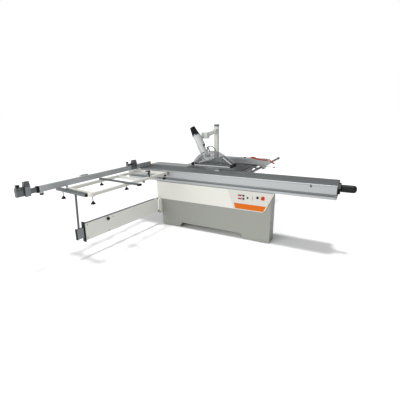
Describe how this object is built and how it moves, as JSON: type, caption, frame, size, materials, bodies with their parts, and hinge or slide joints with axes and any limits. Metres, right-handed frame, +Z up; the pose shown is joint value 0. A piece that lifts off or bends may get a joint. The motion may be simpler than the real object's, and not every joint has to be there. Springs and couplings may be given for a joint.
{
  "type": "panel saw",
  "caption": "Sliding-table panel saw with long carriage, outrigger frame, telescopic crosscut fence, rip fence and overhead blade guard on a column.",
  "frame": {"origin": "on the floor under the middle of the machine's overall box", "axes": "+X along the carriage's travel towards the push handle, +Y from the operator's side into the machine, +Z up"},
  "size_m": [3.397, 4.32, 1.5534],
  "materials": {
    "grey_paint": "satin powder coat",
    "cream_paint": "satin powder coat",
    "anodised": "natural anodised, drawn lengthways",
    "cast_table": "ground and oiled",
    "table_sheet": "fine texture",
    "steel": "ground",
    "black_plastic": "moulded",
    "orange_plastic": "moulded",
    "red_plastic": "moulded",
    "panel_foil": "printed foil",
    "clear_plastic": "clear polycarbonate",
    "black_rubber": "matt",
    "motor_paint": "satin"
  },
  "bodies": {
    "machine": {"front_pedestal": "grey_paint", "main_cabinet": "grey_paint", "front_cover": "cream_paint", "control_panel": "panel_foil", "guide_rail": "anodised", "arm_bracket": "black_plastic", "main_table": "cast_table", "table_insert": "cast_table", "outfeed_table": "table_sheet", "side_extension_table": "table_sheet", "rip_guide": "steel", "guard_column": "cream_paint"},
    "cabinet_door": {"cabinet_door": "grey_paint"},
    "height_button": {"height_button": "black_plastic"},
    "tilt_button": {"tilt_button": "black_plastic"},
    "start_button": {"start_button": "black_plastic"},
    "scoring_button": {"scoring_button": "black_plastic"},
    "main_switch": {"main_switch": "red_plastic"},
    "rail_lock": {"rail_lock_knob": "black_plastic"},
    "roller_cage": {"roller_cage": "steel"},
    "carriage": {"sliding_carriage": "anodised", "push_handle": "black_plastic", "outrigger_near_tube": "cream_paint", "outrigger_far_tube": "cream_paint", "outrigger_outer_tube": "cream_paint", "outrigger_inner_tube": "cream_paint", "outrigger_cross_tube": "cream_paint", "middle_clamp_rail": "anodised", "outer_clamp_rail": "grey_paint"},
    "carriage_latch": {"carriage_latch": "steel"},
    "clamp_knob_outer_left": {"clamp_knob_outer_left": "black_plastic"},
    "clamp_knob_outer_right": {"clamp_knob_outer_right": "black_plastic"},
    "clamp_knob_middle_left": {"clamp_knob_middle_left": "black_plastic"},
    "clamp_knob_middle_right": {"clamp_knob_middle_right": "black_plastic"},
    "material_clamp": {"material_clamp": "black_plastic"},
    "crosscut_fence": {"crosscut_fence": "anodised"},
    "fence_extension": {"fence_extension": "steel"},
    "outer_stop": {"outer_stop_flap": "steel"},
    "flip_stop_carrier": {"flip_stop_carrier": "black_plastic"},
    "flip_stop": {"flip_stop_flap": "steel"},
    "swing_arm": {"swing_arm": "cream_paint", "arm_end_plate": "black_plastic"},
    "inner_arm": {"inner_arm": "grey_paint", "support_post": "steel"},
    "rip_fence": {"rip_fence_body": "anodised"},
    "rip_clamp_lever": {"rip_clamp_lever": "orange_plastic"},
    "rip_lock_lever": {"rip_lock_lever": "orange_plastic"},
    "guard_arm": {"guard_arm": "cream_paint"},
    "guard_hood": {"guard_hood": "clear_plastic", "dust_duct": "clear_plastic", "duct_cuff": "black_rubber", "guard_handle": "steel"},
    "tilt": {"tilt_frame": "cast_table"},
    "lift": {"saw_motor": "motor_paint", "riving_knife": "steel", "drive_belt": "black_rubber"},
    "arbor": {"main_blade": "steel", "saw_arbor": "steel"},
    "motor_pulley": {"motor_pulley": "steel"},
    "scoring": {"scoring_blade": "steel"}
  },
  "joints": [
    {"name": "carriage_travel", "type": "slide", "parent": "machine", "child": "carriage", "axis": [1, 0, 0], "range_m": [-1.5, 1.5]},
    {"name": "roller_cage_travel", "type": "slide", "parent": "machine", "child": "roller_cage", "axis": [1, 0, 0], "range_m": [-0.75, 0.75]},
    {"name": "rail_lock_turn", "type": "hinge", "parent": "machine", "child": "rail_lock", "pos_m": [-0.9885, -0.142, 0.7695], "axis": [0, -1, 0], "range_deg": [0, 90]},
    {"name": "carriage_latch_turn", "type": "hinge", "parent": "carriage", "child": "carriage_latch", "pos_m": [1.1935, -0.134, 0.868], "axis": [0, -1, 0], "range_deg": [0, 90]},
    {"name": "clamp_knob_outer_left_turn", "type": "hinge", "parent": "carriage", "child": "clamp_knob_outer_left", "pos_m": [-1.4815, -1.587, 0.745], "axis": [0, 0, 1], "continuous": true},
    {"name": "clamp_knob_outer_right_turn", "type": "hinge", "parent": "carriage", "child": "clamp_knob_outer_right", "pos_m": [-0.9695, -1.592, 0.745], "axis": [0, 0, 1], "continuous": true},
    {"name": "clamp_knob_middle_left_turn", "type": "hinge", "parent": "carriage", "child": "clamp_knob_middle_left", "pos_m": [-1.4365, -0.999, 0.795], "axis": [0, 0, 1], "continuous": true},
    {"name": "clamp_knob_middle_right_turn", "type": "hinge", "parent": "carriage", "child": "clamp_knob_middle_right", "pos_m": [-0.9475, -1.042, 0.795], "axis": [0, 0, 1], "continuous": true},
    {"name": "material_clamp_turn", "type": "hinge", "parent": "carriage", "child": "material_clamp", "pos_m": [-0.9449, -0.56, 0.91], "axis": [0, 0, 1], "range_deg": [-90, 90]},
    {"name": "mitre_swing", "type": "hinge", "parent": "carriage", "child": "crosscut_fence", "pos_m": [-1.4695, -0.19, 0.903], "axis": [0, 0, 1], "range_deg": [-45, 0]},
    {"name": "fence_extend", "type": "slide", "parent": "crosscut_fence", "child": "fence_extension", "axis": [0, -1, 0], "range_m": [0, 0.75]},
    {"name": "outer_stop_flip", "type": "hinge", "parent": "fence_extension", "child": "outer_stop", "pos_m": [-1.4695, -2.045, 1.016], "axis": [0, -1, 0], "range_deg": [0, 75]},
    {"name": "flip_stop_travel", "type": "slide", "parent": "crosscut_fence", "child": "flip_stop_carrier", "axis": [0, -1, 0], "range_m": [-0.15, 0.73]},
    {"name": "flip_stop_flip", "type": "hinge", "parent": "flip_stop_carrier", "child": "flip_stop", "pos_m": [-1.4695, -0.285, 1.016], "axis": [0, -1, 0], "range_deg": [0, 75]},
    {"name": "arm_swing", "type": "hinge", "parent": "machine", "child": "swing_arm", "pos_m": [-1.1235, -0.175, 0.336], "axis": [0, 0, 1], "range_deg": [-46, 46]},
    {"name": "arm_telescope", "type": "slide", "parent": "swing_arm", "child": "inner_arm", "axis": [-0.0793, -0.9968, 0], "range_m": [0, 0.6]},
    {"name": "rip_fence_travel", "type": "slide", "parent": "machine", "child": "rip_fence", "axis": [0, 1, 0], "range_m": [-0.56, 0.85]},
    {"name": "rip_clamp_turn", "type": "hinge", "parent": "rip_fence", "child": "rip_clamp_lever", "pos_m": [0.3235, 0.926, 0.996], "axis": [0, 1, 0], "range_deg": [0, 60]},
    {"name": "rip_lock_lift", "type": "hinge", "parent": "rip_fence", "child": "rip_lock_lever", "pos_m": [0.3285, 0.97, 0.985], "axis": [0, -1, 0], "range_deg": [0, 40]},
    {"name": "guard_arm_swing", "type": "hinge", "parent": "machine", "child": "guard_arm", "pos_m": [-0.9055, 1.544, 1.405], "axis": [0, 0, 1], "range_deg": [-50, 0]},
    {"name": "guard_raise", "type": "slide", "parent": "guard_arm", "child": "guard_hood", "axis": [-0.4762, 0, 0.8793], "range_m": [0, 0.12]},
    {"name": "saw_tilt", "type": "hinge", "parent": "machine", "child": "tilt", "pos_m": [-0.3915, 0.298, 0.9], "axis": [1, 0, 0], "range_deg": [0, 45]},
    {"name": "saw_lift", "type": "slide", "parent": "tilt", "child": "lift", "axis": [0, 0, 1], "range_m": [-0.045, 0.04]},
    {"name": "blade_spin", "type": "hinge", "parent": "lift", "child": "arbor", "pos_m": [-0.3915, 0.298, 0.74], "axis": [0, 1, 0], "continuous": true},
    {"name": "motor_spin", "type": "hinge", "parent": "lift", "child": "motor_pulley", "pos_m": [-0.3915, 0.298, 0.45], "axis": [0, 1, 0], "continuous": true},
    {"name": "scoring_spin", "type": "hinge", "parent": "tilt", "child": "scoring", "pos_m": [-0.1365, 0.298, 0.842], "axis": [0, 1, 0], "continuous": true},
    {"name": "door_swing", "type": "hinge", "parent": "machine", "child": "cabinet_door", "pos_m": [0.0745, 0.17, 0.43], "axis": [0, 0, -1], "range_deg": [0, 80]},
    {"name": "height_press", "type": "slide", "parent": "machine", "child": "height_button", "axis": [0, 1, 0], "range_m": [0, 0.003], "stiffness_N_per_m": 400},
    {"name": "tilt_press", "type": "slide", "parent": "machine", "child": "tilt_button", "axis": [0, 1, 0], "range_m": [0, 0.003], "stiffness_N_per_m": 400},
    {"name": "start_press", "type": "slide", "parent": "machine", "child": "start_button", "axis": [0, 1, 0], "range_m": [0, 0.003], "stiffness_N_per_m": 400},
    {"name": "scoring_press", "type": "slide", "parent": "machine", "child": "scoring_button", "axis": [0, 1, 0], "range_m": [0, 0.003], "stiffness_N_per_m": 400},
    {"name": "main_switch_turn", "type": "hinge", "parent": "machine", "child": "main_switch", "pos_m": [0.6025, -0.143, 0.639], "axis": [0, -1, 0], "range_deg": [0, 90]}
  ],
  "couplings": [
    {"joint": "roller_cage_travel", "follows": "carriage_travel", "ratio": 0.5},
    {"joint": "arm_swing", "follows": "carriage_travel", "rad_per_m": 0.53},
    {"joint": "blade_spin", "follows": "motor_spin", "ratio": 1.5}
  ]
}
